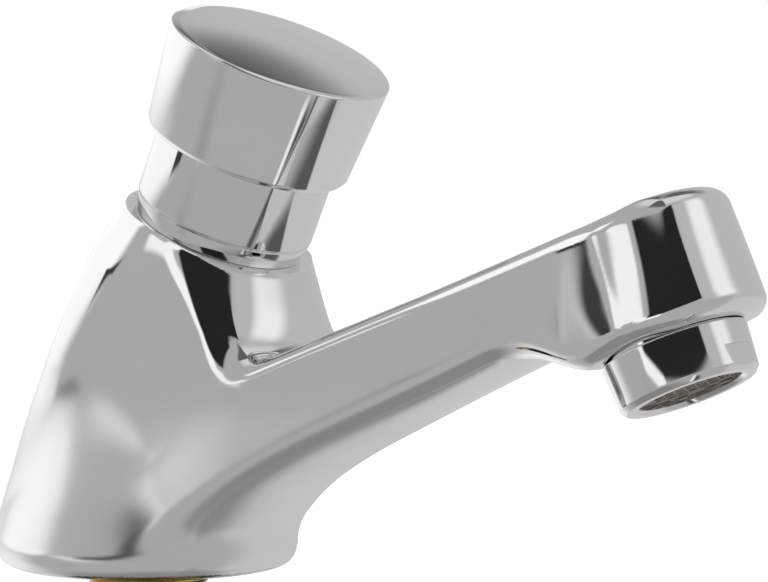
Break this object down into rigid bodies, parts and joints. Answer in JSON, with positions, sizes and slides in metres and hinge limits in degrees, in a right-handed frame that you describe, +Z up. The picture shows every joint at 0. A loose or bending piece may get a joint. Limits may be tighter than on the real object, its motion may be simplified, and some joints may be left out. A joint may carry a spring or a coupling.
{
  "type": "push timed tap",
  "caption": "Self-closing basin push tap: chromed cast body with a leaning push button, a slow-return valve, an upswept spout with aerator and a threaded tail below the deck.",
  "frame": {"origin": "middle of the round foot, on the deck plane that the foot's gasket sits on", "axes": "+Z up out of the deck, +X towards the spout's outlet, +Y to the left as seen from behind the tap"},
  "size_m": [0.1492, 0.0498, 0.1456],
  "materials": {
    "chrome_body": "polished",
    "chrome_bonnet": "polished",
    "chrome_button": "polished",
    "chrome_outlet": "polished",
    "brass": "turned",
    "black_rubber": "matt",
    "zinc_steel": "zinc plated",
    "stainless": "turned",
    "spring_steel": "drawn wire",
    "steel_mesh": "perforated",
    "white_plastic": "moulded",
    "ivory_plastic": "moulded",
    "blue_plastic": "moulded"
  },
  "bodies": {
    "body": {"body_casting": "chrome_body", "inlet_tail": "brass", "base_gasket": "black_rubber", "fixing_washer": "black_rubber", "slip_washer": "zinc_steel", "backnut": "brass", "inlet_strainer": "white_plastic", "bonnet": "chrome_bonnet", "bonnet_oring": "black_rubber", "stem_bush": "ivory_plastic", "stem_oring": "black_rubber", "valve_seat": "brass", "seat_oring": "black_rubber", "aerator_housing": "chrome_outlet", "aerator_screen": "steel_mesh", "aerator_insert": "white_plastic", "flow_regulator": "blue_plastic", "aerator_washer": "black_rubber", "return_spring": "spring_steel"},
    "plunger": {"push_cap": "chrome_button", "stem": "stainless", "piston": "ivory_plastic", "piston_cup_seal": "black_rubber", "piston_clip": "stainless", "valve_washer": "black_rubber", "valve_poppet": "brass", "poppet_nut": "stainless"}
  },
  "joints": [
    {"name": "button_press", "type": "slide", "parent": "body", "child": "plunger", "axis": [-0.4147, 0, -0.91], "range_m": [0, 0.007], "stiffness_N_per_m": 600, "springref_m": -0.014, "deforming": ["return_spring"]}
  ]
}
